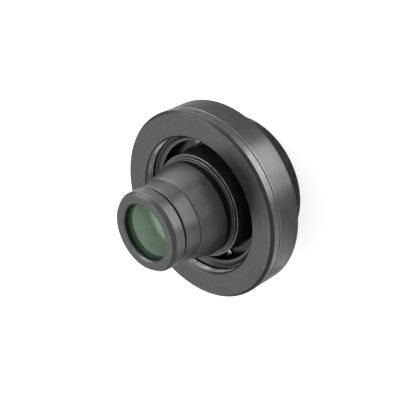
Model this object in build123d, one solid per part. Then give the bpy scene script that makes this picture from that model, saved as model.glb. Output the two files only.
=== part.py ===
from build123d import *
import os
from math import copysign, cos, radians, sin, sqrt

# Teleconverter lens, sizes in millimetres
# Z is the optical axis: Z = 0 is the end of the rear mounting thread, +Z leads to the small front glass.
# The origin is on the axis, X and Y lie across it.

# Housing sizes
outer_dia = 70.4          # body and front ring
total_length = 52.2       # end of the rear thread to the tip of the bezel
thread_dia = 52.0         # accessory thread, outside at the rear and inside at the front
thread_pitch = 0.75
thread_height = 0.54      # height of the thread form as a share of its pitch
tube_wall = 3.2           # wall of the rear mounting tube
tube_length = 13.5        # rear end to the rear edge of the body
thread_length = 6.0       # threaded part of the tube
thread_chamfer = 0.9
relief_depth = 0.55       # plain neck behind the rear thread
body_length = 9.8         # rear edge of the body to the parting groove
ring_length = 3.7         # parting groove to the front face
joint_dia = 61.0          # bore of the body that takes the front ring
web_rise = 1.9            # seat of the clamp ring above the rear edge of the body
web_thickness = 4.0       # inner flange of the body
edge_break = 0.3          # small chamfers at the outer edges
face_chamfer = 1.2        # across the face at the outer edge of the front ring
chamfer_length = 0.9      # along the axis, same chamfer

# Recess sizes
front_thread_length = 3.4
undercut_width = 0.8
undercut_depth = 0.5
ledge_dia = 45.7          # sharp inner edge of the sloped ledge
ledge_drop = 1.2          # height of the slope
ledge_thickness = 1.4
ledge_land = 0.4          # short wall under the sharp edge
cavity_dia = 51.0         # room behind the ledge

# Sleeve and clamp sizes
sleeve_dia = 38.4
sleeve_wall = 1.1
sleeve_length = 12.4
flange_height = 1.4
flange_overlap = 0.5      # sleeve flange under the clamp ring
stop_height = 0.6         # inner lip that the barrel stands on
stop_width = 1.3
clamp_thickness = 2.0
screw_dia = 1.6
screw_wall = 0.4          # metal between a screw and the sleeve flange
screw_head_dia = 2.6
screw_head_height = 0.8
screw_grip = 3.0          # thread in the body
cross_depth = 0.4         # cross slot in the screw head
cross_width = 0.4
cross_length = 1.6
screw_count = 4
screw_angle = 73.0        # first screw, measured from +X

# Barrel sizes
lip_rise = 0.4            # barrel shoulder above the front end of the sleeve
lip_width = 0.75
band_depth = 0.35         # dark band inside the lip
band_length = 3.2
cone_rise = 0.5           # rear edge of the cone above the band
step_height = 0.5
step_width = 0.5          # front end of the cone wider than the neck
neck_length = 5.85
neck_taper = 0.5          # rear end of the neck wider than its front end
neck_inset = 0.3          # front end of the neck narrower than the bezel
foot_wall = 3.6           # wall of the barrel around the rear glass
spigot_wall = 1.4         # wall of the barrel around the front glass, its outside joins the bezel
tip_groove = 0.75
bezel_wall = 1.5
bezel_length = 5.4
bezel_chamfer = 1.0
bezel_chamfer_length = 1.45
lip_depth = 1.9           # front face of the bezel to its gasket
glass_overlap = 1.3       # bezel over the rim of the front glass
aperture_bevel = 0.5
bevel_length = 0.7

# Optics sizes, a radius above zero has its centre on the rear side
gasket_thickness = 0.35
front_lens_dia = 23.2
front_radius = 50.0
front_rear_radius = 120.0
front_lens_thickness = 3.4
spacer_wall = 1.0
spacer_length = 2.0
crown_radius = 60.0
crown_thickness = 3.6
cement_radius = -42.0     # shared surface of the front doublet
flint_thickness = 1.8
flint_radius = 150.0
seat_thickness = 1.2      # inner lip under the front doublet
baffle_step = 0.4         # baffle tube wider than the front glass
baffle_wall = 1.0
baffle_grooves = 5
baffle_groove_depth = 0.5
rear_shoulder = 13.4      # shoulder of the rear bore above the foot of the barrel
disc_thickness = 0.6
disc_overlap = 1.0        # stop disc narrower than the bore of the baffle tube
rear_first_radius = -60.0
rear_first_thickness = 1.6
rear_cement_radius = 80.0
rear_second_thickness = 2.8
rear_last_radius = 150.0
rear_spacer_length = 1.6
rear_spacer_wall = 1.5
retainer_length = 2.6
retainer_wall = 2.0
slot_width = 1.5
slot_depth = 1.0

# Seal sizes
seal_section = 1.0
seal_room = 0.2           # seal groove wider than the seal
seal_inset = 2.0          # seal groove behind the joint it closes

# Fits
slip = 0.2                # between parts that slide past each other
overrun = 1.0             # cuts run this far past the face they open


def height(vertex, radius, r):
    # level of a spherical surface at the distance r from the axis
    drop = abs(radius) - sqrt(radius * radius - r * r)
    return vertex - copysign(drop, radius)


# Radii
outer_r = outer_dia / 2
thread_r = thread_dia / 2
thread_depth = thread_height * thread_pitch
crest_r = thread_r - thread_depth
relief_r = thread_r - relief_depth
tube_r = thread_r - tube_wall
joint_r = joint_dia / 2
ledge_r = ledge_dia / 2
cavity_r = cavity_dia / 2
sleeve_r = sleeve_dia / 2
barrel_r = sleeve_r - sleeve_wall
stop_r = barrel_r - stop_width
web_r = barrel_r + slip
clamp_r = sleeve_r + 2 * slip
flange_r = clamp_r + flange_overlap
pocket_r = flange_r + slip / 2
screw_r = screw_dia / 2
screw_circle = pocket_r + screw_wall + screw_r
lip_r = barrel_r - lip_width
band_r = lip_r - band_depth
cone_rear_r = band_r + cone_rise
front_lens_r = front_lens_dia / 2
spacer_r = front_lens_r - spacer_wall
spigot_r = front_lens_r + spigot_wall
bezel_r = spigot_r + bezel_wall
aperture_r = front_lens_r - glass_overlap
gasket_r = aperture_r + slip / 2
neck_front_r = bezel_r - neck_inset
neck_rear_r = neck_front_r + neck_taper
cone_front_r = neck_rear_r + step_width
baffle_r = front_lens_r + baffle_step
baffle_bore_r = baffle_r - baffle_wall
disc_r = baffle_bore_r - disc_overlap
rear_lens_r = barrel_r - foot_wall

# Levels of the housing
body_rear = tube_length
seat = body_rear + web_rise
web_rear = seat - web_thickness
clamp_top = seat + clamp_thickness
parting = body_rear + body_length
front_face = parting + ring_length
undercut_top = front_face - front_thread_length
undercut_base = undercut_top - undercut_width
ledge_edge = undercut_base - ledge_drop
ledge_rear = ledge_edge - ledge_thickness

# Levels of the barrel
sleeve_base = seat - flange_height
sleeve_top = sleeve_base + sleeve_length
foot = sleeve_base + stop_height
band_base = sleeve_top + lip_rise
cone_rear = band_base + band_length
tip = total_length
bezel_rear = tip - bezel_length
neck_front = bezel_rear - tip_groove
neck_rear = neck_front - neck_length
cone_front = neck_rear - step_height

# Levels of the glass, counted back from the tip and back from the rear shoulder
gasket_top = tip - lip_depth
gasket_base = gasket_top - gasket_thickness
front_vertex = 2 * gasket_base - height(gasket_base, front_radius, gasket_r)
front_back = front_vertex - front_lens_thickness
spacer_top = height(front_back, front_rear_radius, front_lens_r)
spacer_base = spacer_top - spacer_length
crown_vertex = 2 * spacer_base - height(spacer_base, crown_radius, spacer_r)
cement_vertex = crown_vertex - crown_thickness
flint_vertex = cement_vertex - flint_thickness
seat_top = height(flint_vertex, flint_radius, front_lens_r)
seat_base = seat_top - seat_thickness
shoulder = foot + rear_shoulder
disc_base = shoulder - disc_thickness
rear_vertex = 2 * disc_base - height(disc_base, rear_first_radius, rear_lens_r)
rear_cement = rear_vertex - rear_first_thickness
rear_last = rear_cement - rear_second_thickness
rear_rim = height(rear_last, rear_last_radius, rear_lens_r)
retainer_top = rear_rim - rear_spacer_length
retainer_base = retainer_top - retainer_length


def turned(points):
    # ring turned about Z from its half section of (radius, level) points
    outline = Polyline([(r, 0, z) for r, z in points], close=True)
    return revolve(make_face(outline), Axis.Z, 360)


def tube(inner, outer, base, top):
    return turned([(inner, base), (outer, base), (outer, top), (inner, top)])


def lens(r, front, front_curve, back, back_curve):
    # disc of glass between two spherical surfaces with their vertices at front and back
    def surface(vertex, curve):
        points = [(d, 0, height(vertex, curve, d)) for d in (0, r / 2, r)]
        return ThreePointArc(*points), points[0], points[2]

    top, top_axis, top_rim = surface(front, front_curve)
    low, low_axis, low_rim = surface(back, back_curve)
    section = make_face([low, Line(low_rim, top_rim), top, Line(top_axis, low_axis)])
    return revolve(section, Axis.Z, 360)


def screw_places():
    for i in range(screw_count):
        a = radians(screw_angle + 360 * i / screw_count)
        yield screw_circle * cos(a), screw_circle * sin(a)


def rod(x, y, r, base, top):
    return Pos(x, y, base) * Cylinder(r, top - base, align=(Align.CENTER, Align.CENTER, Align.MIN))


def seal_groove(r, top):
    # section of a groove for a round seal, open to the outside at radius r
    low = top - seal_section - seal_room
    return [(r, low), (r - seal_section, low), (r - seal_section, top), (r, top)]


def seal(r, top):
    level = top - (seal_section + seal_room) / 2
    return Pos(0, 0, level) * Torus(r - seal_section / 2, seal_section / 2)


def body_ring():
    ring = turned([
        (tube_r, 0), (thread_r - thread_chamfer, 0), (thread_r, thread_chamfer),
        (thread_r, thread_length), (relief_r, thread_length + edge_break),
        (relief_r, body_rear), (outer_r - edge_break, body_rear), (outer_r, body_rear + edge_break),
        (outer_r, parting - edge_break), (outer_r - edge_break, parting), (joint_r, parting),
        (joint_r, seat), (pocket_r, seat), (pocket_r, sleeve_base),
        (web_r, sleeve_base), (web_r, web_rear), (tube_r, web_rear)])
    for x, y in screw_places():
        ring -= rod(x, y, screw_r, seat - screw_grip, seat + overrun)
    return ring


def front_ring():
    groove = seal_groove(joint_r, parting - seal_inset)
    return turned([
        (cavity_r, clamp_top), (joint_r, clamp_top), *groove, (joint_r, parting),
        (outer_r - edge_break, parting), (outer_r, parting + edge_break),
        (outer_r, front_face - chamfer_length), (outer_r - face_chamfer, front_face),
        (thread_r + edge_break, front_face), (crest_r, front_face - edge_break - thread_depth),
        (crest_r, undercut_top), (crest_r + undercut_depth, undercut_top),
        (crest_r + undercut_depth, undercut_base), (crest_r - undercut_depth, undercut_base),
        (ledge_r, ledge_edge), (ledge_r, ledge_edge - ledge_land), (cavity_r, ledge_rear)])


def body_seal():
    return seal(joint_r, parting - seal_inset)


def clamp_ring():
    ring = turned([
        (clamp_r, seat), (joint_r - slip, seat), (joint_r - slip, clamp_top),
        (clamp_r + edge_break, clamp_top), (clamp_r, clamp_top - edge_break)])
    for x, y in screw_places():
        ring -= rod(x, y, screw_r + slip / 2, seat - overrun, clamp_top + overrun)
    return ring


def clamp_screw(x, y):
    head_top = clamp_top + screw_head_height
    screw = rod(x, y, screw_head_dia / 2, clamp_top, head_top)
    screw += rod(x, y, screw_r, seat - screw_grip, clamp_top)
    for size in ((cross_width, cross_length), (cross_length, cross_width)):
        screw -= Pos(x, y, head_top) * Box(*size, 2 * cross_depth)
    return screw


def clamp_screws():
    return Compound(children=[clamp_screw(x, y) for x, y in screw_places()])


def barrel_sleeve():
    return turned([
        (stop_r, sleeve_base), (flange_r, sleeve_base), (flange_r, seat), (sleeve_r, seat),
        (sleeve_r, sleeve_top - edge_break / 2), (sleeve_r - edge_break / 2, sleeve_top),
        (barrel_r, sleeve_top), (barrel_r, foot), (stop_r, foot)])


def lens_barrel():
    groove = seal_groove(barrel_r, sleeve_top - seal_inset)
    rim = edge_break / 2
    return turned([
        (rear_lens_r, foot), (barrel_r, foot), *groove,
        (barrel_r, band_base - rim), (barrel_r - rim, band_base), (lip_r, band_base),
        (band_r, band_base + band_depth), (band_r, cone_rear - cone_rise), (cone_rear_r, cone_rear),
        (cone_front_r, cone_front), (neck_rear_r, neck_rear),
        (neck_front_r, neck_front - edge_break), (neck_front_r - edge_break, neck_front),
        (spigot_r, neck_front), (spigot_r, gasket_base - rim), (spigot_r - rim, gasket_base),
        (front_lens_r, gasket_base), (front_lens_r, seat_top), (spacer_r, seat_top),
        (spacer_r, seat_base), (baffle_r, seat_base), (baffle_r, shoulder), (rear_lens_r, shoulder)])


def barrel_seal():
    return seal(barrel_r, sleeve_top - seal_inset)


def front_bezel():
    return turned([
        (spigot_r, bezel_rear), (bezel_r - edge_break, bezel_rear), (bezel_r, bezel_rear + edge_break),
        (bezel_r, tip - bezel_chamfer_length), (bezel_r - bezel_chamfer, tip),
        (aperture_r + aperture_bevel, tip), (aperture_r, tip - bevel_length),
        (aperture_r, gasket_top), (spigot_r, gasket_top)])


def bezel_gasket():
    return tube(gasket_r, spigot_r - slip / 2, gasket_base, gasket_top)


def front_lens():
    return lens(front_lens_r, front_vertex, front_radius, front_back, front_rear_radius)


def front_spacer():
    return tube(spacer_r, front_lens_r, spacer_base, spacer_top)


def doublet_crown():
    return lens(front_lens_r, crown_vertex, crown_radius, cement_vertex, cement_radius)


def doublet_flint():
    return lens(front_lens_r, cement_vertex, cement_radius, flint_vertex, flint_radius)


def baffle_tube():
    pitch = (seat_base - shoulder) / (baffle_grooves + 1)
    part = tube(baffle_bore_r, baffle_r, shoulder, seat_base)
    for i in range(baffle_grooves):
        level = shoulder + (i + 1) * pitch
        groove_r = baffle_bore_r + baffle_groove_depth
        part -= tube(disc_r, groove_r, level - pitch / 4, level + pitch / 4)
    return part


def stop_disc():
    return tube(disc_r, rear_lens_r, disc_base, shoulder)


def rear_first_lens():
    return lens(rear_lens_r, rear_vertex, rear_first_radius, rear_cement, rear_cement_radius)


def rear_second_lens():
    return lens(rear_lens_r, rear_cement, rear_cement_radius, rear_last, rear_last_radius)


def rear_spacer():
    return tube(rear_lens_r - rear_spacer_wall, rear_lens_r, retainer_top, rear_rim)


def rear_retainer():
    ring = tube(rear_lens_r - retainer_wall, rear_lens_r, retainer_base, retainer_top)
    return ring - Pos(0, 0, retainer_base) * Box(slot_width, 3 * rear_lens_r, 2 * slot_depth)


parts = [
    body_ring, front_ring, body_seal, clamp_ring, clamp_screws, barrel_sleeve, lens_barrel,
    barrel_seal, front_bezel, bezel_gasket, front_lens, front_spacer, doublet_crown, doublet_flint,
    baffle_tube, stop_disc, rear_first_lens, rear_second_lens, rear_spacer, rear_retainer]

os.makedirs("parts", exist_ok=True)
for part in parts:
    shape = part()
    name = part.__name__
    export_step(shape, "parts/" + name + ".step")
    box = shape.bounding_box()
    print(name, "z %.2f to %.2f" % (box.min.Z, box.max.Z), "r %.2f" % box.max.X, "volume %.1f" % shape.volume)
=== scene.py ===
import bpy
import numpy as np
from mathutils import Matrix


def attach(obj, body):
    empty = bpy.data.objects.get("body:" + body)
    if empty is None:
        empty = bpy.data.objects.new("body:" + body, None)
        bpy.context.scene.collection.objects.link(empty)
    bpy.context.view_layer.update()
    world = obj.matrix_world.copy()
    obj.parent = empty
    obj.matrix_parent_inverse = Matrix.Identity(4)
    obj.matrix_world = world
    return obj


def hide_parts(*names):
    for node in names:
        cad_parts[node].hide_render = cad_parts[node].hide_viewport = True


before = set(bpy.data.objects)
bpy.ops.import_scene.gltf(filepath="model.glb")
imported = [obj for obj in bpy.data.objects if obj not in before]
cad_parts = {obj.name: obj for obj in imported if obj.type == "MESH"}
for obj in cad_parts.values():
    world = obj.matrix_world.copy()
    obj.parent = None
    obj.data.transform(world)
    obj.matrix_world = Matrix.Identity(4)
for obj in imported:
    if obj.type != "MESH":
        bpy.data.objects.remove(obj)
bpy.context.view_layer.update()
print("frame loaded,", len(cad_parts), "nodes")

mm = 0.001
smallEdge = 0.06                      # rounding of a corner that states none, in mm
sameLength = 0.001                    # a point this close to a radius lies on it, in mm
sideReach = 0.02                      # a straight side this close to a radius lies on it, in mm


# camera, worked out from the round edges in the photo
camera = {
    # mm, and the picture's right side, its top and the way back to the viewer as unit vectors
    "place": (1.40, -247.7, 225.15),
    "right": (-0.45523, -0.56129, -0.69117),
    "up": (0.89037, -0.28698, -0.35338),
    "back": (0.0, -0.77627, 0.63040),
    "lens": 81.0, "sensor": 36.0,          # mm
    "nearest": 0.01, "farthest": 20.0,     # m
}


def makeCamera(c):
    data = bpy.data.cameras.new("photoCamera")
    data.lens = c["lens"]
    data.sensor_width = c["sensor"]
    data.clip_start = c["nearest"]
    data.clip_end = c["farthest"]
    obj = bpy.data.objects.new("photoCamera", data)
    turn = Matrix((c["right"], c["up"], c["back"])).transposed().to_4x4()
    turn.translation = [v * mm for v in c["place"]]
    obj.matrix_world = turn
    bpy.context.scene.collection.objects.link(obj)
    bpy.context.scene.camera = obj


makeCamera(camera)
print("camera placed")


# shapes
def roundCorners(corners, steps=6):
    # a section from corners of (radius, level, rounding): each becomes an arc that touches both its sides,
    # point = centre + rounding * (cos a, sin a), with a running evenly from one side to the other
    c = np.array([(*k, smallEdge)[:3] for k in corners], float)
    p, radius = c[:, :2], c[:, 2]
    back, ahead = np.roll(p, 1, 0) - p, np.roll(p, -1, 0) - p
    u = back / np.linalg.norm(back, axis=1)[:, None]
    w = ahead / np.linalg.norm(ahead, axis=1)[:, None]
    half = np.arccos(np.clip((u * w).sum(1), -1, 1)) / 2
    middle = (u + w) / np.linalg.norm(u + w, axis=1)[:, None]
    centre = p + middle * (radius / np.sin(half))[:, None]
    reach = (radius / np.tan(half))[:, None]
    start, end = p + u * reach - centre, p + w * reach - centre
    a0 = np.arctan2(start[:, 1], start[:, 0])
    turn = np.arctan2(end[:, 1], end[:, 0]) - a0
    turn = (turn + np.pi) % (2 * np.pi) - np.pi
    a = a0[:, None] + turn[:, None] * np.linspace(0, 1, steps)
    arc = centre[:, None] + radius[:, None, None] * np.stack((np.cos(a), np.sin(a)), 2)
    outward = (w[:, 0] * u[:, 1] - w[:, 1] * u[:, 0]) > 0          # an outer corner, not an inner one
    wearAndHighlight = np.sin(np.linspace(0, np.pi, steps)) * outward[:, None]
    return arc.reshape(-1, 2), wearAndHighlight.ravel()


def addRows(section, wearAndHighlight, low, high, side, spacing):
    # puts more points on the straight side of a section that lies at the radius side between two levels,
    # each a weighted mean of the side's two ends
    step = np.linalg.norm(np.roll(section, -1, 0) - section, axis=1)
    s = np.concatenate(([0], np.cumsum(step)))
    ring = np.vstack((section, section[:1]))
    mid = (ring[:-1] + ring[1:]) / 2
    here = (abs(mid[:, 0] - side) < sideReach) & (mid[:, 1] > low) & (mid[:, 1] < high)
    k = np.argmax(np.where(here, step, 0))
    count = int(step[k] / spacing)
    at = np.sort(np.concatenate((s[:-1], np.linspace(s[k], s[k + 1], count + 2)[1:-1])))
    more = np.stack([np.interp(at, s, ring[:, i]) for i in (0, 1)], 1)
    return more, np.interp(at, s, np.append(wearAndHighlight, wearAndHighlight[0]))


def gridFaces(rows, columns, closed):
    # the four corners of each face of a grid whose columns run round, and whose rows do so too where closed
    i = np.arange(rows if closed else rows - 1)[:, None]
    j = np.arange(columns)[None, :]
    i1, j1 = (i + 1) % rows, (j + 1) % columns
    corners = [i * columns + j, i * columns + j1, i1 * columns + j1, i1 * columns + j]
    return np.stack([np.broadcast_to(c, (len(i), columns)) for c in corners], 2).reshape(-1, 4)


def meshFrom(name, points, faces, normals, wearAndHighlight, paintedShade=None):
    # faces holds quads, and triangles as quads whose last number is -1; the wear with its painted highlights
    # and the painted shade become attributes
    mesh = bpy.data.meshes.new(name)
    mesh.vertices.add(len(points))
    mesh.vertices.foreach_set("co", (points * mm).astype(np.float32).ravel())
    keep = faces >= 0
    count = keep.sum(1)
    mesh.loops.add(int(count.sum()))
    mesh.loops.foreach_set("vertex_index", faces[keep].astype(np.int32))
    mesh.polygons.add(len(faces))
    starts = np.concatenate(([0], np.cumsum(count)[:-1]))
    mesh.polygons.foreach_set("loop_start", starts.astype(np.int32))
    mesh.update(calc_edges=True)
    mesh.polygons.foreach_set("use_smooth", np.ones(len(faces), bool))
    edge = mesh.attributes.new("edge", "FLOAT", "POINT")
    edge.data.foreach_set("value", wearAndHighlight.astype(np.float32))
    if paintedShade is not None:
        dark = mesh.attributes.new("paintedShade", "FLOAT", "POINT")
        dark.data.foreach_set("value", paintedShade.astype(np.float32))
    mesh.normals_split_custom_set_from_vertices(normals.astype(np.float32))
    obj = bpy.data.objects.new(name, mesh)
    bpy.context.scene.collection.objects.link(obj)
    return obj


threadForm = {
    # a ridge is steepness times a triangle wave less root, kept from 0 to 1, so that crest and root are flat
    "steepness": 1.5, "root": 0.2,
    # bare metal with a painted highlight starts at the first share of the ridge's height and is full at the
    # second
    "bareFrom": 0.35, "bareFull": 0.85,
}


def threadRidge(z, v, pitch):
    # height of a right-handed thread from 0 to 1, from a triangle wave of z / pitch - v / full turn
    share = (z / pitch - v / (2 * np.pi)) % 1.0
    return np.clip(threadForm["steepness"] * (1 - abs(2 * share - 1)) - threadForm["root"], 0, 1)


def cutThread(t, r, z, v, edge):
    # turns in the straight side at crestR, between two levels: r + deeper * (1 - ridge);
    # the crest wear is bare metal with a painted highlight on a crest, threadShade is painted shade on every
    # turn and valleyShade painted shade in its valley
    cut = (abs(r - t["crestR"]) < sameLength) & (z > t["low"]) & (z < t["high"])
    ridge = threadRidge(z, v, t["pitch"])
    bareAndHighlight = (ridge - threadForm["bareFrom"]) / (threadForm["bareFull"] - threadForm["bareFrom"])
    dark = t["threadShade"] + t["valleyShade"] * (1 - ridge)
    newEdge = np.where(cut, t["crestWearAndHighlight"] * np.clip(bareAndHighlight, 0, 1), edge)
    return np.where(cut, r + t["deeper"] * (1 - ridge), r), newEdge, np.where(cut, dark, 0)


def turnedRing(name, section, wearAndHighlight, columns, thread=None, shade=None):
    # a ring about the Z axis: point(u, v) = (r(u) cos v, r(u) sin v, z(u)), with turns if a thread is given;
    # shade(r, z) is 1 where painted shade darkens the surface fully, and 0 where there is none
    v = np.linspace(0, 2 * np.pi, columns, endpoint=False)[None, :]
    r = np.repeat(section[:, :1], columns, 1)
    z = np.repeat(section[:, 1:], columns, 1)
    edge, paintedShade = np.repeat(wearAndHighlight, columns).reshape(r.shape), np.zeros(r.shape)
    if thread is not None:
        r, edge, paintedShade = cutThread(thread, r, z, v, edge)
    if shade is not None:
        paintedShade = np.maximum(paintedShade, shade(r, z))
    p = np.stack((r * np.cos(v), r * np.sin(v), z), 2)
    du = np.roll(p, -1, 0) - np.roll(p, 1, 0)
    dv = np.roll(p, -1, 1) - np.roll(p, 1, 1)
    n = np.cross(dv, du)
    n /= np.linalg.norm(n, axis=2)[:, :, None]
    faces = gridFaces(len(section), columns, True)
    return meshFrom(name, p.reshape(-1, 3), faces, n.reshape(-1, 3), edge.ravel(), paintedShade.ravel())


def turnedSolid(section, columns, places=((0.0, 0.0),), lift=None):
    # a solid about Z whose section starts and ends on the axis: point(u, v) = (r cos v, r sin v, z),
    # where lift(x, y, z) gives a new z; a fan of triangles closes each end, and places repeats the solid
    v = np.linspace(0, 2 * np.pi, columns, endpoint=False)[None, :]
    r, z = section[1:-1, :1], np.repeat(section[1:-1, 1:], columns, 1)
    x, y = r * np.cos(v), r * np.sin(v)
    low, high = section[0, 1], section[-1, 1]
    if lift is not None:
        high = float(lift(np.zeros(1), np.zeros(1), np.full(1, high))[0])
        z = lift(x, y, z)
    p = np.stack((x, y, z), 2)
    ends = np.array([[0, 0, low], [0, 0, high]])
    lowRow, highRow = [np.broadcast_to(end, (1, columns, 3)) for end in ends]
    full = np.concatenate((lowRow, p, highRow))
    du = full[2:] - full[:-2]
    dv = np.roll(p, -1, 1) - np.roll(p, 1, 1)
    n = np.cross(dv, du)
    n /= np.linalg.norm(n, axis=2)[:, :, None]
    rows = len(p)
    j = np.arange(columns)
    j1 = (j + 1) % columns
    first, last = rows * columns, rows * columns + 1
    none = np.full(columns, -1)
    lowFan = np.stack((np.full(columns, first), j1, j, none), 1)
    topRow = (rows - 1) * columns
    highFan = np.stack((np.full(columns, last), topRow + j, topRow + j1, none), 1)
    faces = np.concatenate((gridFaces(rows, columns, False), lowFan, highFan))
    points = np.concatenate((p.reshape(-1, 3), ends))
    normals = np.concatenate((n.reshape(-1, 3), [[0, 0, -1], [0, 0, 1]]))
    allPoints = np.concatenate([points + np.array([px, py, 0]) for px, py in places])
    step = np.arange(len(places))[:, None, None] * len(points)
    allFaces = np.where(faces[None] < 0, -1, faces[None] + step).reshape(-1, 4)
    return allPoints, allFaces, np.tile(normals, (len(places), 1))


def sphereLevel(vertex, curve, r):
    # the vertex's level less what the sphere has fallen away at r, curve - curve * sqrt(1 - (r / curve)^2)
    return vertex - curve + curve * np.sqrt(1 - (r / curve) ** 2)


# node groups and materials
def newGroup(name, inputs, outputs):
    group = bpy.data.node_groups.new(name, "ShaderNodeTree")
    for socket, kind, value in inputs:
        made = group.interface.new_socket(socket, in_out="INPUT", socket_type=kind)
        made.default_value = value
    for socket, kind in outputs:
        group.interface.new_socket(socket, in_out="OUTPUT", socket_type=kind)
    return group, group.nodes.new("NodeGroupInput"), group.nodes.new("NodeGroupOutput")


def node(tree, kind, inputs=None, **settings):
    made = tree.nodes.new("ShaderNode" + kind)
    for key, value in settings.items():
        setattr(made, key, value)
    for key, value in (inputs or {}).items():
        if isinstance(value, bpy.types.NodeSocket):
            tree.links.new(value, made.inputs[key])
        else:
            made.inputs[key].default_value = value
    return made


def math(tree, operation, a, b=0.0, c=0.0, clamp=False):
    made = node(tree, "Math", {0: a, 1: b, 2: c}, operation=operation, use_clamp=clamp)
    return made.outputs[0]


def mixColour(tree, share, a, b):
    return node(tree, "Mix", {0: share, 6: a, 7: b}, data_type="RGBA").outputs[2]


def scaled(tree, vector, factor):
    return node(tree, "VectorMath", {0: vector, 3: factor}, operation="SCALE").outputs[0]


def placeInMm(tree):
    return scaled(tree, node(tree, "TexCoord").outputs["Object"], 1 / mm)


def noise(tree, vector, size, detail, roughness=0.5):
    # grey noise whose patches measure about size
    scale = math(tree, "DIVIDE", 1.0, size)
    inputs = {"Vector": vector, "Scale": scale, "Detail": detail, "Roughness": roughness}
    return node(tree, "TexNoise", inputs).outputs[0]


noiseLow, noiseHigh = 0.3, 0.7        # nearly all of a noise lies between these


def spread(tree, grey, low, high):
    # stretches a noise so that it runs from low to high
    return node(tree, "MapRange", {0: grey, 1: noiseLow, 2: noiseHigh, 3: low, 4: high}).outputs[0]


grainForm = {
    "drift": 0.01, "lineDetail": 3.0, "lineRoughness": 0.6, "grainDetail": 2.0, "grainRoughness": 0.7,
}


def makeTurnedGrain(g):
    # fine lines round the axis from the lathe, and the pitted grain of the blasted skin under the anodising;
    # the lines are noise of (distance from the axis, level), and drift lets them change slowly along the way
    group, given, out = newGroup("turnedGrain", [
        ("Line Width", "NodeSocketFloat", 0.3), ("Line Depth", "NodeSocketFloat", 0.001),
        ("Grain Size", "NodeSocketFloat", 0.2), ("Grain Depth", "NodeSocketFloat", 0.001)],
        [("Height", "NodeSocketFloat"), ("Lines", "NodeSocketFloat"), ("Grain", "NodeSocketFloat")])
    inMm = placeInMm(group)
    flat = node(group, "VectorMath", {0: inMm, 1: (1, 1, 0)}, operation="MULTIPLY").outputs[0]
    radius = node(group, "VectorMath", {0: flat}, operation="LENGTH").outputs["Value"]
    level = node(group, "SeparateXYZ", {0: inMm}).outputs["Z"]
    slow = scaled(group, inMm, g["drift"])
    along = node(group, "CombineXYZ", {"X": radius, "Y": level, "Z": 0.0}).outputs[0]
    ringed = node(group, "VectorMath", {0: along, 1: slow}, operation="ADD").outputs[0]
    lines = noise(group, ringed, given.outputs["Line Width"], g["lineDetail"], g["lineRoughness"])
    grain = noise(group, inMm, given.outputs["Grain Size"], g["grainDetail"], g["grainRoughness"])
    lineHeight = math(group, "MULTIPLY", lines, given.outputs["Line Depth"])
    height = math(group, "MULTIPLY_ADD", grain, given.outputs["Grain Depth"], lineHeight)
    group.links.new(height, out.inputs["Height"])
    group.links.new(lines, out.inputs["Lines"])
    group.links.new(grain, out.inputs["Grain"])
    return group


# the last is the share of the colour that painted shade takes away where it is full
wearForm = {"patchDetail": 4.0, "leastWorn": 0.35, "paintedShadeDark": 0.85}


def makeWearAndPaintedLight(w):
    # brighter metal where the mesh's edge attribute is above 0, broken up by noise: rubbed metal, with a
    # painted highlight on some edges, and painted shade, a darker surface, where the attribute that carries
    # painted shade is above 0
    group, given, out = newGroup("wearAndPaintedLight", [
        ("Colour", "NodeSocketColor", (0.05, 0.05, 0.05, 1)),
        ("Worn Colour", "NodeSocketColor", (0.3, 0.3, 0.3, 1)),
        ("Amount", "NodeSocketFloat", 0.5), ("Patch Size", "NodeSocketFloat", 3.0)],
        [("Colour", "NodeSocketColor"), ("Wear And Highlight", "NodeSocketFloat")])
    edge = node(group, "Attribute", attribute_name="edge").outputs["Fac"]
    patches = noise(group, placeInMm(group), given.outputs["Patch Size"], w["patchDetail"])
    broken = spread(group, patches, w["leastWorn"], 1.0)
    patchy = math(group, "MULTIPLY", edge, broken)
    wearAndHighlight = math(group, "MULTIPLY", patchy, given.outputs["Amount"], clamp=True)
    mixed = mixColour(group, wearAndHighlight, given.outputs["Colour"], given.outputs["Worn Colour"])
    paintedShade = node(group, "Attribute", attribute_name="paintedShade").outputs["Fac"]
    light = math(group, "MULTIPLY_ADD", paintedShade, -w["paintedShadeDark"], 1.0)
    group.links.new(scaled(group, mixed, light), out.inputs["Colour"])
    group.links.new(wearAndHighlight, out.inputs["Wear And Highlight"])
    return group


markForm = {"detail": 5.0, "roughness": 0.65}


def makeSoftMarks(m):
    # faint clouds that run from low to high, as left by handling and cleaning; in the front glass's colour
    # they are painted reflections
    group, given, out = newGroup("softMarks", [
        ("Size", "NodeSocketFloat", 6.0), ("Low", "NodeSocketFloat", 0.3), ("High", "NodeSocketFloat", 0.4)],
        [("Value", "NodeSocketFloat")])
    cloud = noise(group, placeInMm(group), given.outputs["Size"], m["detail"], m["roughness"])
    value = spread(group, cloud, given.outputs["Low"], given.outputs["High"])
    group.links.new(value, out.inputs["Value"])
    return group


turnedGrain = makeTurnedGrain(grainForm)
wearAndPaintedLight = makeWearAndPaintedLight(wearForm)
softMarks = makeSoftMarks(markForm)


def placeGroup(tree, group, inputs):
    made = tree.nodes.new("ShaderNodeGroup")
    made.node_tree = group
    for key, value in inputs.items():
        made.inputs[key].default_value = value
    return made


def startMaterial(name):
    material = bpy.data.materials.new(name)
    material.use_nodes = True
    tree = material.node_tree
    return material, tree, tree.nodes["Principled BSDF"]


def addGrain(tree, shader, f):
    # bump from the turned lines and the blasted grain, whose sizes are in mm
    grain = placeGroup(tree, turnedGrain, {
        "Line Width": f["lineWidth"], "Line Depth": f["lineDepth"] * mm,
        "Grain Size": f["grainSize"], "Grain Depth": f["grainDepth"] * mm})
    bump = node(tree, "Bump", {"Strength": 1.0, "Distance": 1.0, "Height": grain.outputs["Height"]})
    tree.links.new(bump.outputs[0], shader.inputs["Normal"])
    return grain


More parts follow.
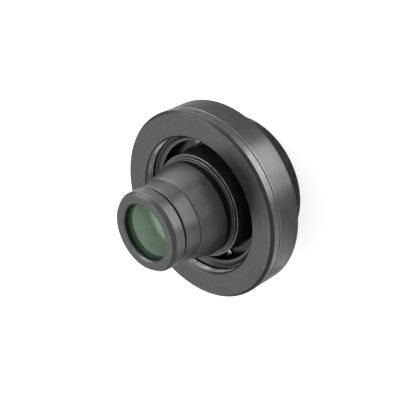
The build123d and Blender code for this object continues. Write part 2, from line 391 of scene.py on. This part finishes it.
anodisedSkin = {
    "ior": 1.5, "sheen": 0.35, "tint": (0.5, 0.5, 0.5, 1),     # dyed skin, so less glare at a slant
    "turn": 0.25,                     # highlights stretch across the turned lines
    "patchSize": 4.0, "markSize": 5.0, "dyeSize": 2.5,         # mm
    "smoother": 0.05, "rougher": 0.06, "wornSmoother": 0.08,   # steps in roughness
    "shadeSpread": 0.12,              # how far the lines and the dye each change the colour
}


def anodised(name, f, a):
    # anodised aluminium: black dye on a turned and finely blasted skin
    material, tree, shader = startMaterial(name)
    shader.inputs["Metallic"].default_value = f["metallic"]
    shader.inputs["Anisotropic"].default_value = f["anisotropy"]
    shader.inputs["Anisotropic Rotation"].default_value = a["turn"]
    shader.inputs["IOR"].default_value = a["ior"]
    shader.inputs["Specular IOR Level"].default_value = a["sheen"]
    shader.inputs["Specular Tint"].default_value = a["tint"]
    tangent = node(tree, "Tangent", direction_type="RADIAL", axis="Z").outputs[0]
    tree.links.new(tangent, shader.inputs["Tangent"])
    grain = addGrain(tree, shader, f)
    wear = placeGroup(tree, wearAndPaintedLight, {
        "Colour": (*f["colour"], 1), "Worn Colour": (*f["wornColour"], 1),
        "Amount": f["wear"], "Patch Size": a["patchSize"]})
    marks = placeGroup(tree, softMarks, {
        "Size": a["markSize"], "Low": f["roughness"] - a["smoother"], "High": f["roughness"] + a["rougher"]})
    # the lines shade the colour a little as well, and so do faint clouds in the dye
    darkest, lightest = 1 - a["shadeSpread"], 1 + a["shadeSpread"]
    shade = spread(tree, grain.outputs["Lines"], darkest, lightest)
    dye = placeGroup(tree, softMarks, {"Size": a["dyeSize"], "Low": darkest, "High": lightest})
    both = math(tree, "MULTIPLY", shade, dye.outputs["Value"])
    tree.links.new(scaled(tree, wear.outputs["Colour"], both), shader.inputs["Base Color"])
    sheen = math(tree, "MULTIPLY_ADD", wear.outputs["Wear And Highlight"], -a["wornSmoother"], marks.outputs["Value"])
    tree.links.new(sheen, shader.inputs["Roughness"])
    return material


def coatedGlass(name, f):
    # glass whose coating throws back a little green; where transmission is below 1 the rest of its colour is
    # a diffuse painted reflection, and its colour clouds are painted reflections standing in for reflections
    # inside
    material, tree, shader = startMaterial(name)
    cloud = placeGroup(tree, softMarks, {
        "Size": f["cloudSize"], "Low": 1 - f["cloudSpread"], "High": 1 + f["cloudSpread"]})
    tree.links.new(scaled(tree, f["colour"], cloud.outputs["Value"]), shader.inputs["Base Color"])
    shader.inputs["Metallic"].default_value = 0.0
    shader.inputs["Transmission Weight"].default_value = f["transmission"]
    shader.inputs["IOR"].default_value = f["ior"]
    shader.inputs["Specular Tint"].default_value = (*f["coating"], 1)
    shader.inputs["Specular IOR Level"].default_value = f["glint"]
    marks = placeGroup(tree, softMarks, {
        "Size": f["markSize"], "Low": f["roughness"], "High": f["roughness"] + f["rougher"]})
    tree.links.new(marks.outputs["Value"], shader.inputs["Roughness"])
    return material


def plainRubber(name, f):
    # matt rubber, whose grain shades its colour
    material, tree, shader = startMaterial(name)
    grain = addGrain(tree, shader, f)
    marks = placeGroup(tree, softMarks, {
        "Size": f["markSize"],
        "Low": f["roughness"] - f["markSpread"], "High": f["roughness"] + f["markSpread"]})
    shade = spread(tree, grain.outputs["Grain"], 1 - f["shadeSpread"], 1 + f["shadeSpread"])
    tree.links.new(scaled(tree, f["colour"], shade), shader.inputs["Base Color"])
    tree.links.new(marks.outputs["Value"], shader.inputs["Roughness"])
    return material


# widths, sizes and depths are in mm
finishes = {
    "satinBlack": {
        "colour": (0.040, 0.040, 0.040), "wornColour": (0.50, 0.51, 0.52), "wear": 0.25, "metallic": 0.75,
        "roughness": 0.36, "anisotropy": 0.35, "lineWidth": 0.25, "lineDepth": 0.003,
        "grainSize": 0.45, "grainDepth": 0.014},
    "satinRing": {
        "colour": (0.057, 0.057, 0.057), "wornColour": (0.85, 0.85, 0.85), "wear": 0.22, "metallic": 0.75,
        "roughness": 0.34, "anisotropy": 0.35, "lineWidth": 0.22, "lineDepth": 0.003,
        "grainSize": 0.4, "grainDepth": 0.010},
    "glossBlack": {
        "colour": (0.016, 0.016, 0.017), "wornColour": (0.12, 0.12, 0.12), "wear": 0.3, "metallic": 0.3,
        "roughness": 0.18, "anisotropy": 0.3, "lineWidth": 0.3, "lineDepth": 0.001,
        "grainSize": 0.2, "grainDepth": 0.001},
    "satinBarrel": {
        "colour": (0.055, 0.055, 0.055), "wornColour": (0.36, 0.37, 0.37), "wear": 0.6, "metallic": 0.75,
        "roughness": 0.37, "anisotropy": 0.3, "lineWidth": 0.2, "lineDepth": 0.002,
        "grainSize": 0.15, "grainDepth": 0.005},
    "satinBezel": {
        "colour": (0.060, 0.063, 0.060), "wornColour": (0.28, 0.30, 0.29), "wear": 0.4, "metallic": 0.75,
        "roughness": 0.37, "anisotropy": 0.3, "lineWidth": 0.2, "lineDepth": 0.002,
        "grainSize": 0.15, "grainDepth": 0.004},
    "mattInner": {
        "colour": (0.014, 0.014, 0.014), "wornColour": (0.06, 0.06, 0.06), "wear": 0.3, "metallic": 0.1,
        "roughness": 0.62, "anisotropy": 0.0, "lineWidth": 0.3, "lineDepth": 0.004,
        "grainSize": 0.1, "grainDepth": 0.008},
    "screwSteel": {
        "colour": (0.26, 0.26, 0.27), "wornColour": (0.5, 0.5, 0.5), "wear": 0.3, "metallic": 1.0,
        "roughness": 0.25, "anisotropy": 0.0, "lineWidth": 0.1, "lineDepth": 0.001,
        "grainSize": 0.1, "grainDepth": 0.002},
}
metals = {name: anodised(name, f, anodisedSkin) for name, f in finishes.items()}
# the front glass lets 0.35 through, so its green colour shows mostly as a diffuse painted reflection of the
# coated surfaces
frontGlass = coatedGlass("frontGlass", {
    "colour": (0.050, 0.102, 0.052), "cloudSize": 6.0, "cloudSpread": 0.35, "transmission": 0.35,
    "ior": 1.52, "coating": (0.60, 0.90, 0.62), "glint": 0.2,
    "roughness": 0.13, "rougher": 0.02, "markSize": 3.0})
innerGlass = coatedGlass("innerGlass", {
    "colour": (0.70, 0.82, 0.71), "cloudSize": 9.0, "cloudSpread": 0.35, "transmission": 1.0,
    "ior": 1.6, "coating": (0.55, 1.0, 0.6), "glint": 0.15,
    "roughness": 0.05, "rougher": 0.02, "markSize": 3.0})
sealRubber = plainRubber("sealRubber", {
    "colour": (0.012, 0.012, 0.012), "shadeSpread": 0.3,
    "roughness": 0.7, "markSpread": 0.06, "markSize": 2.0,
    "lineWidth": 0.5, "lineDepth": 0.002, "grainSize": 0.12, "grainDepth": 0.012})
print("materials made")


def place(obj, material, slot, *nodes):
    obj.data.materials.append(material)
    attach(obj, "root")
    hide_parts(*nodes)


# sizes of the pieces are in mm, and levels are measured from the end of the rear thread
jointR = 30.5                         # bore of the body ring that takes the front ring
jointRim = 0.1                        # painted shade in the joint stops this far from that bore
clampSeat = 15.4                      # level that the clamp ring lies on
flangeFoot = 14.0                     # level that the sleeve's flange lies on

# body ring
bodyRing = {
    "outerR": 35.2, "rear": 13.5, "parting": 23.3, "edge": 0.3,
    "tubeR": 22.8, "endR": 25.1, "neckR": 25.45, "pocketR": 20.2, "webR": 18.3, "webRear": 11.4,
    "threadR": 26.0, "threadPitch": 0.75, "threadDepth": 0.405, "threadFrom": 0.9, "threadTo": 6.0,
    "threadInset": 0.02, "rowSpacing": 0.04, "sideSpacing": 0.25, "columns": 288,
    # bare metal with a painted highlight on the thread's crests, then painted shade on every turn and
    # painted shade in the valleys
    "crestWearAndHighlight": 0.8, "threadShade": 0.2, "valleyShade": 0.35,
    # rubbed metal with a painted highlight on the chamfer at the joint, then where the painted shade in the
    # joint starts and how far it fades
    "jointWearAndHighlight": 0.95, "paintedShadeFrom": 0.05, "paintedShadeFade": 0.03,
    "jointBelow": 0.1, "jointInside": 0.05,     # how far past its ends the chamfer at the joint counts
}


def makeBodyRing(b):
    e, outer, parting = b["edge"], b["outerR"], b["parting"]
    section, wearAndHighlight = roundCorners([
        (b["tubeR"], 0, 0.1), (b["endR"], 0, 0.1),
        (b["threadR"], b["threadFrom"]), (b["threadR"], b["threadTo"]),
        (b["neckR"], b["threadTo"] + e), (b["neckR"], b["rear"], 0.2),
        (outer - e, b["rear"], 0.1), (outer, b["rear"] + e, 0.1),
        (outer, parting - e, 0.1), (outer - e, parting, 0.1), (jointR, parting),
        (jointR, clampSeat), (b["pocketR"], clampSeat), (b["pocketR"], flangeFoot),
        (b["webR"], flangeFoot), (b["webR"], b["webRear"], 0.1), (b["tubeR"], b["webRear"], 0.3)])
    section, wearAndHighlight = addRows(section, wearAndHighlight, b["rear"], parting, outer, b["sideSpacing"])
    jointLevel = parting - e - b["jointBelow"]
    atJoint = (section[:, 0] > outer - e - b["jointInside"]) & (section[:, 1] > jointLevel)
    wearAndHighlight = np.where(atJoint, b["jointWearAndHighlight"], wearAndHighlight)          # the chamfer at the joint is rubbed, and carries a painted highlight
    section, wearAndHighlight = addRows(section, wearAndHighlight, b["threadFrom"], b["threadTo"], b["threadR"], b["rowSpacing"])

    def jointShade(r, z):
        # painted shade in the joint, from just inside the outer edge: share = (outer - start - r) / fade,
        # with both taken from the ring's table
        share = np.clip((outer - b["paintedShadeFrom"] - r) / b["paintedShadeFade"], 0, 1)
        return share * (z > jointLevel) * (r > jointR + jointRim)

    thread = {
        "crestR": b["threadR"], "deeper": -b["threadDepth"], "pitch": b["threadPitch"],
        "low": b["threadFrom"] + b["threadInset"], "high": b["threadTo"] - b["threadInset"],
        "crestWearAndHighlight": b["crestWearAndHighlight"], "threadShade": b["threadShade"], "valleyShade": b["valleyShade"]}
    ring = turnedRing("bodyRing", section, wearAndHighlight, b["columns"], thread, jointShade)
    place(ring, metals["satinBlack"], "body_metal", "body_ring")


makeBodyRing(bodyRing)
print("body ring made")

# front ring
frontRing = {
    "outerR": bodyRing["outerR"], "parting": bodyRing["parting"], "face": 27.0, "edge": 0.3,
    "faceChamfer": 1.2, "chamferLength": 0.9,
    "rear": 17.4, "sealR": 29.5, "sealLow": 20.1, "sealHigh": 21.3, "cavityR": 25.5, "cavityTop": 20.2,
    "threadR": 26.0, "threadPitch": 0.75, "threadDepth": 0.405, "threadInset": 0.05,
    "undercut": 0.5, "undercutLow": 22.8, "undercutTop": 23.6,
    "slopeInset": 0.5, "slopeR": 23.9, "slopeLevel": 21.75,
    "ledgeR": 22.85, "ledgeLow": 21.2, "ledgeHigh": 21.6,
    "rowSpacing": 0.05, "sideSpacing": 0.25, "columns": 288,
    # bare metal with a painted highlight on the thread's crests, painted shade in its valleys and on the
    # chamfer of the face
    "crestWearAndHighlight": 4.0, "valleyShade": 0.45, "chamferShade": 0.5,
    # how far the painted shade in the joint fades
    "paintedShadeFade": 0.06,
    "jointAbove": 0.02, "jointBelow": 0.1, "chamferBelow": 0.05,     # how far past its ends a chamfer counts
}


def makeFrontRing(f):
    e, outer, parting, face = f["edge"], f["outerR"], f["parting"], f["face"]
    crest = f["threadR"] - f["threadDepth"]
    section, wearAndHighlight = roundCorners([
        (f["cavityR"], f["rear"]), (jointR, f["rear"]),
        (jointR, f["sealLow"]), (f["sealR"], f["sealLow"], 0.2),
        (f["sealR"], f["sealHigh"], 0.2), (jointR, f["sealHigh"]),
        (jointR, parting), (outer - e, parting, 0.1), (outer, parting + e, 0.1),
        (outer, face - f["chamferLength"], 0.15), (outer - f["faceChamfer"], face, 0.15),
        (f["threadR"] + e, face, 0.1), (crest, face - e - f["threadDepth"], 0.05),
        (crest, f["undercutTop"], 0.03), (crest + f["undercut"], f["undercutTop"], 0.1),
        (crest + f["undercut"], f["undercutLow"], 0.1), (crest - f["slopeInset"], f["undercutLow"], 0.2),
        (f["slopeR"], f["slopeLevel"], 1.4), (f["ledgeR"], f["ledgeHigh"], 0.08),
        (f["ledgeR"], f["ledgeLow"], 0.1), (f["cavityR"], f["cavityTop"], 0.2)])
    section, wearAndHighlight = addRows(section, wearAndHighlight, f["undercutTop"], face, crest, f["rowSpacing"])
    section, wearAndHighlight = addRows(section, wearAndHighlight, parting, face, outer, f["sideSpacing"])

    def ringShade(r, z):
        # painted shade in the joint, share = (outer - r) / the fade from the ring's table, and painted shade
        # on the chamfer of the face
        nearJoint = (z < parting + e + f["jointAbove"]) * (z > parting - f["jointBelow"])
        joint = np.clip((outer - r) / f["paintedShadeFade"], 0, 1) * nearJoint * (r > jointR + jointRim)
        onChamfer = (z > face - f["chamferLength"] - f["chamferBelow"]) * (r > outer - f["faceChamfer"])
        return np.maximum(joint, f["chamferShade"] * onChamfer)

    thread = {
        "crestR": crest, "deeper": f["threadDepth"], "pitch": f["threadPitch"],
        "low": f["undercutTop"] + f["threadInset"], "high": face,
        "crestWearAndHighlight": f["crestWearAndHighlight"], "threadShade": 0.0, "valleyShade": f["valleyShade"]}
    ring = turnedRing("frontRing", section, wearAndHighlight, f["columns"], thread, ringShade)
    place(ring, metals["satinRing"], "ring_metal", "front_ring")


makeFrontRing(frontRing)
print("front ring made")

# barrel sleeve
barrelSleeve = {
    "outerR": 19.2, "innerR": 18.1, "top": 26.4, "flangeR": 20.1, "stopR": 16.8, "stopTop": 14.6,
    # the lips' rubbed edges carry a painted highlight as well
    "lipEdge": 0.2, "lipWearAndHighlight": 1.5, "columns": 256,
}


def makeSleeve(s):
    section, wearAndHighlight = roundCorners([
        (s["stopR"], flangeFoot), (s["flangeR"], flangeFoot), (s["flangeR"], clampSeat),
        (s["outerR"], clampSeat, 0.1),
        (s["outerR"], s["top"], s["lipEdge"]), (s["innerR"], s["top"], s["lipEdge"]),
        (s["innerR"], s["stopTop"]), (s["stopR"], s["stopTop"])])
    ring = turnedRing("barrelSleeve", section, wearAndHighlight * s["lipWearAndHighlight"], s["columns"])
    place(ring, metals["satinBarrel"], "sleeve_metal", "barrel_sleeve")


makeSleeve(barrelSleeve)
print("sleeve made")

# lens barrel
lensBarrel = {
    "footR": barrelSleeve["innerR"], "foot": barrelSleeve["stopTop"], "rearBoreR": 14.5, "shoulder": 28.0,
    "sealLow": 23.2, "sealHigh": 24.4, "sealDepth": 1.0,
    # the recessed band between the lip and the cone gets painted shade
    "lipR": 17.35, "band": 26.8, "bandR": 17.0, "lipSlope": 0.35, "bandShade": 0.75, "shadeMargin": 0.1,
    "coneRearR": 17.5, "coneRear": 30.0, "coneRise": 0.5, "coneEdge": 0.5,
    "coneFrontR": 15.2, "coneFront": 39.7, "stepEdge": 0.25,
    "neckRearR": 14.7, "neckRear": 40.2, "neckFrontR": 14.2, "neckFront": 46.05, "neckEdge": 0.15,
    "spigotR": 13.0, "spigotTop": 49.95, "spigotEdge": 0.15,
    "frontBoreR": 11.6, "seatR": 10.6, "seatLow": 38.98, "seatTop": 40.18, "baffleR": 12.0,
    "columns": 288,
}


def makeBarrel(b):
    grooveR = b["footR"] - b["sealDepth"]
    bandLow, bandHigh = b["band"] + b["lipSlope"], b["coneRear"] - b["coneRise"]
    section, wearAndHighlight = roundCorners([
        (b["rearBoreR"], b["foot"], 0.1), (b["footR"], b["foot"], 0.1),
        (b["footR"], b["sealLow"]), (grooveR, b["sealLow"], 0.2),
        (grooveR, b["sealHigh"], 0.2), (b["footR"], b["sealHigh"]),
        (b["footR"], b["band"], 0.22), (b["lipR"], b["band"], 0.15),
        (b["bandR"], bandLow, 0.1), (b["bandR"], bandHigh, 0.2),
        (b["coneRearR"], b["coneRear"], b["coneEdge"]), (b["coneFrontR"], b["coneFront"], b["stepEdge"]),
        (b["neckRearR"], b["neckRear"], b["stepEdge"]),
        (b["neckFrontR"], b["neckFront"] - b["neckEdge"], 0.1),
        (b["neckFrontR"] - b["neckEdge"], b["neckFront"], 0.1), (b["spigotR"], b["neckFront"]),
        (b["spigotR"], b["spigotTop"] - b["spigotEdge"]), (b["spigotR"] - b["spigotEdge"], b["spigotTop"]),
        (b["frontBoreR"], b["spigotTop"]), (b["frontBoreR"], b["seatTop"]), (b["seatR"], b["seatTop"]),
        (b["seatR"], b["seatLow"]), (b["baffleR"], b["seatLow"]), (b["baffleR"], b["shoulder"]),
        (b["rearBoreR"], b["shoulder"])])

    def bandShade(r, z):
        # painted shade on the recessed band between the lip and the cone
        margin = b["shadeMargin"]
        onBand = (abs(r - b["bandR"]) < margin / 2) * (z > bandLow - margin) * (z < bandHigh + margin)
        return b["bandShade"] * onBand

    ring = turnedRing("lensBarrel", section, wearAndHighlight, b["columns"], shade=bandShade)
    place(ring, metals["satinBarrel"], "barrel_metal", "lens_barrel")


makeBarrel(lensBarrel)
print("lens barrel made")

# front bezel
frontBezel = {
    "outerR": 14.5, "rear": 46.8, "tip": 52.2, "edge": 0.3, "chamfer": 1.0, "chamferLength": 1.45,
    "boreR": lensBarrel["spigotR"], "lipRear": 50.3, "apertureR": 10.3, "bevel": 0.5, "bevelLength": 0.7,
    # the bevel around the glass is rubbed metal with a painted highlight
    "bevelWearAndHighlight": 0.8, "columns": 256,
    "bevelBeside": 0.04, "bevelBelow": 0.02,    # how far past its ends the bevel counts
}


def makeBezel(b):
    e, tip = b["edge"], b["tip"]
    bevelR, bevelLow = b["apertureR"] + b["bevel"], tip - b["bevelLength"]
    section, wearAndHighlight = roundCorners([
        (b["boreR"], b["rear"]), (b["outerR"] - e, b["rear"], 0.1), (b["outerR"], b["rear"] + e, 0.1),
        (b["outerR"], tip - b["chamferLength"], 0.2), (b["outerR"] - b["chamfer"], tip, 0.15),
        (bevelR, tip, 0.12), (b["apertureR"], bevelLow, 0.1),
        (b["apertureR"], b["lipRear"], 0.05), (b["boreR"], b["lipRear"])])
    onBevel = (section[:, 0] < bevelR + b["bevelBeside"]) & (section[:, 1] > bevelLow - b["bevelBelow"])
    wearAndHighlight = np.where(onBevel, b["bevelWearAndHighlight"], wearAndHighlight)          # the bevel around the glass is rubbed, and carries a painted highlight
    ring = turnedRing("frontBezel", section, wearAndHighlight, b["columns"])
    place(ring, metals["satinBezel"], "bezel_metal", "front_bezel")


makeBezel(frontBezel)
print("front bezel made")

# clamp screws
clampScrews = {
    "count": 4, "circle": 21.4, "firstAngle": 73.0,
    "headR": 1.3, "base": 17.4, "top": 18.2, "headEdge": 0.12, "crown": 0.18,
    "shankR": 0.8, "end": 12.4, "shankEdge": 0.15, "cornerBreak": 0.02,
    "slotWidth": 0.5, "slotLength": 1.7, "slotDepth": 0.4, "slotWall": 0.05, "slotEnd": 0.15,
    "rows": 26, "edgeRows": 6, "columns": 72,
}


def armShare(s, across, along):
    # share of the slot's depth in one arm of the cross, side share times end share, each kept from 0 to 1:
    # a half, plus the distance inwards from the middle of the wall divided by the wall's width
    wide = np.clip((s["slotWidth"] / 2 - abs(across)) / s["slotWall"] + 0.5, 0, 1)
    long = np.clip((s["slotLength"] / 2 - abs(along)) / s["slotEnd"] + 0.5, 0, 1)
    return wide * long


def makeScrews(s):
    # level of the head = top - crown * (r / headR)^2, less slotDepth times the share of the deeper arm there
    headR, shankR, base, rim, small = s["headR"], s["shankR"], s["base"], s["headEdge"], s["cornerBreak"]
    across = np.linspace(headR - rim, 0, s["rows"])
    domed = np.stack((across, s["top"] - s["crown"] * (across / headR) ** 2), 1)
    a = np.linspace(0, np.pi / 2, s["edgeRows"])
    shoulder = np.stack((headR - rim + rim * np.cos(a), domed[0, 1] - rim + rim * np.sin(a)), 1)
    shank = [[0, s["end"]], [shankR - s["shankEdge"], s["end"]], [shankR, s["end"] + s["shankEdge"]],
             [shankR, base - small / 2], [shankR + small, base]]
    underside = [[headR - small, base], [headR, base + small]]
    section = np.vstack((shank, underside, shoulder[:-1], domed))
    angle = np.radians(s["firstAngle"] + 360 * np.arange(s["count"]) / s["count"])
    places = s["circle"] * np.stack((np.cos(angle), np.sin(angle)), 1)

    def cutCross(x, y, z):
        onTop = z > s["top"] - s["crown"] - small / 2
        return np.where(onTop, z - s["slotDepth"] * np.maximum(armShare(s, x, y), armShare(s, y, x)), z)

    points, faces, normals = turnedSolid(section, s["columns"], places, cutCross)
    screws = meshFrom("clampScrews", points, faces, normals, np.zeros(len(points)))
    place(screws, metals["screwSteel"], "screw_steel", "clamp_screws")


makeScrews(clampScrews)
print("clamp screws made")

# lenses
lensForm = {"gap": 0.005, "edge": 0.08, "rows": 40, "columns": 160}
lenses = {
    # radius of the rim, level and curve of the front vertex, level and curve of the back one;
    # a curve above 0 has its centre on the rear side
    "frontLens": {"rim": 11.6, "front": 51.042, "frontCurve": 50.0, "back": 47.642, "backCurve": 120.0,
                  "node": "front_lens", "slot": "front_glass", "glass": frontGlass},
    "doubletCrown": {"rim": 11.6, "front": 46.029, "frontCurve": 60.0, "back": 42.434, "backCurve": -42.0,
                     "node": "doublet_crown", "slot": "inner_glass", "glass": innerGlass},
    "doubletFlint": {"rim": 11.6, "front": 42.424, "frontCurve": -42.0, "back": 40.629, "backCurve": 150.0,
                     "node": "doublet_flint", "slot": "inner_glass", "glass": innerGlass},
    "rearFirstLens": {"rim": 14.5, "front": 25.62, "frontCurve": -60.0, "back": 24.025, "backCurve": 80.0,
                      "node": "rear_first_lens", "slot": "inner_glass", "glass": innerGlass},
    "rearSecondLens": {"rim": 14.5, "front": 24.015, "frontCurve": 80.0, "back": 21.22, "backCurve": 150.0,
                       "node": "rear_second_lens", "slot": "rear_glass", "glass": frontGlass},
}


def makeLens(name, g, f):
    # both faces are spheres, level = sphereLevel(vertex, curve, r), with rows closer towards the rim
    rim, edge = g["rim"] - f["gap"], f["edge"]
    out = (rim - edge) * np.sin(np.linspace(0, np.pi / 2, f["rows"]))
    rear = np.stack((out, sphereLevel(g["back"], g["backCurve"], out)), 1)
    face = np.stack((out, sphereLevel(g["front"], g["frontCurve"], out)), 1)[::-1]
    side = np.array([[rim, rear[-1, 1] + edge], [rim, face[0, 1] - edge]])
    points, faces, normals = turnedSolid(np.vstack((rear, side, face)), f["columns"])
    lens = meshFrom(name, points, faces, normals, np.zeros(len(points)))
    place(lens, g["glass"], g["slot"], g["node"])


for name, g in lenses.items():
    makeLens(name, g, lensForm)
print("lenses made")

# nodes that keep their own shape
keptNodes = {
    "clamp_ring": metals["glossBlack"], "front_spacer": metals["mattInner"],
    "baffle_tube": metals["mattInner"], "stop_disc": metals["mattInner"],
    "rear_spacer": metals["mattInner"], "rear_retainer": metals["mattInner"],
    "body_seal": sealRubber, "barrel_seal": sealRubber, "bezel_gasket": sealRubber,
}
for name, material in keptNodes.items():
    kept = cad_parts[name]
    if not kept.material_slots:
        kept.data.materials.append(material)
    for materialSlot in kept.material_slots:
        materialSlot.material = material
print("kept nodes given their materials")

# floor, world and lamps
studio = {
    "floorColour": 0.55, "floorRoughness": 0.9, "floorGlow": 0.8, "worldLight": 0.45, "worldSeen": 1.0,
    "floorSize": 3.0,                 # m
    "floorLevel": -0.1,               # mm
    # name, outline, place in mm, aimed at, width and height in mm, radiance of the lamp's face
    "lamps": [
        ("backSoftbox", "RECTANGLE", (-60, 440, 420), (0, 0, 30), (700, 420), 1.12),
        ("topSoftbox", "ELLIPSE", (200, -40, 560), (0, 0, 20), (180, 210), 5.2),
        ("stripLight", "ELLIPSE", (0, 300, 452), (0, 0, 50), (210, 60), 7.0),
        ("rightPanel", "RECTANGLE", (185, -30, 42), (0, -30, 42), (240, 84), 3.2),
        ("rightHigh", "RECTANGLE", (185, 20, 155), (0, 0, 45), (130, 140), 3.6),
        ("frontPanel", "ELLIPSE", (7, -60, 1), (7, -60, 100), (26, 34), 9.0),
        ("frontGlow", "ELLIPSE", (2, -62, 1), (2, -62, 100), (46, 44), 4.8),
        ("farPanel", "ELLIPSE", (8, -84, 1), (8, -84, 100), (126, 38), 10.5),
        ("groundRight", "RECTANGLE", (124, -14, 1), (124, -14, 100), (60, 144), 4.6),
        ("groundLeft", "RECTANGLE", (-81, -34, 1), (-81, -34, 100), (76, 64), 2.3),
        ("groundNear", "ELLIPSE", (56, 34, 1), (56, 34, 100), (22, 44), 2.8),
    ],
}


def seenStrength(tree, falling, seen):
    # one strength for light that falls on things, and one where the camera, metal or glass look at it
    path = node(tree, "LightPath")
    shiny = math(tree, "MAXIMUM", path.outputs["Is Glossy Ray"], path.outputs["Is Transmission Ray"])
    looking = math(tree, "MAXIMUM", path.outputs["Is Camera Ray"], shiny)
    return math(tree, "MULTIPLY_ADD", looking, seen - falling, falling)


def makeStudio(s):
    world = bpy.data.worlds.new("studioWorld")
    world.use_nodes = True
    bpy.context.scene.world = world
    tree = world.node_tree
    background = tree.nodes["Background"]
    background.inputs["Color"].default_value = (1, 1, 1, 1)
    tree.links.new(seenStrength(tree, s["worldLight"], s["worldSeen"]), background.inputs["Strength"])

    material, tree, shader = startMaterial("floorPaper")
    c = s["floorColour"]
    shader.inputs["Base Color"].default_value = (c, c, c, 1)
    shader.inputs["Roughness"].default_value = s["floorRoughness"]
    shader.inputs["Emission Color"].default_value = (1, 1, 1, 1)
    tree.links.new(seenStrength(tree, 0.0, s["floorGlow"]), shader.inputs["Emission Strength"])
    half = s["floorSize"] / 2
    mesh = bpy.data.meshes.new("studioFloor")
    level = s["floorLevel"] * mm
    corners = [(-half, -half, level), (half, -half, level), (half, half, level), (-half, half, level)]
    mesh.from_pydata(corners, [], [(0, 1, 2, 3)])
    mesh.materials.append(material)
    floor = bpy.data.objects.new("studioFloor", mesh)
    bpy.context.scene.collection.objects.link(floor)

    for name, outline, spot, aim, size, radiance in s["lamps"]:
        data = bpy.data.lights.new(name, "AREA")
        data.shape = outline
        data.size, data.size_y = size[0] * mm, size[1] * mm
        # power = radiance * pi * area, and an ellipse fills pi / 4 of width * height
        filled = np.pi / 4 if outline == "ELLIPSE" else 1
        data.energy = radiance * np.pi * data.size * data.size_y * filled
        lamp = bpy.data.objects.new(name, data)
        bpy.context.scene.collection.objects.link(lamp)
        spot, aim = np.array(spot) * mm, np.array(aim) * mm
        back = (spot - aim) / np.linalg.norm(spot - aim)
        side = np.cross((0, 0, 1), back)
        length = np.linalg.norm(side)
        side = side / length if length > 0 else np.array((1.0, 0, 0))     # X where a lamp looks straight up
        turn = Matrix((side, np.cross(back, side), back)).transposed().to_4x4()
        turn.translation = spot
        lamp.matrix_world = turn
        lamp.visible_camera = False


makeStudio(studio)
bpy.context.scene.view_settings.view_transform = "Standard"
print("studio made")
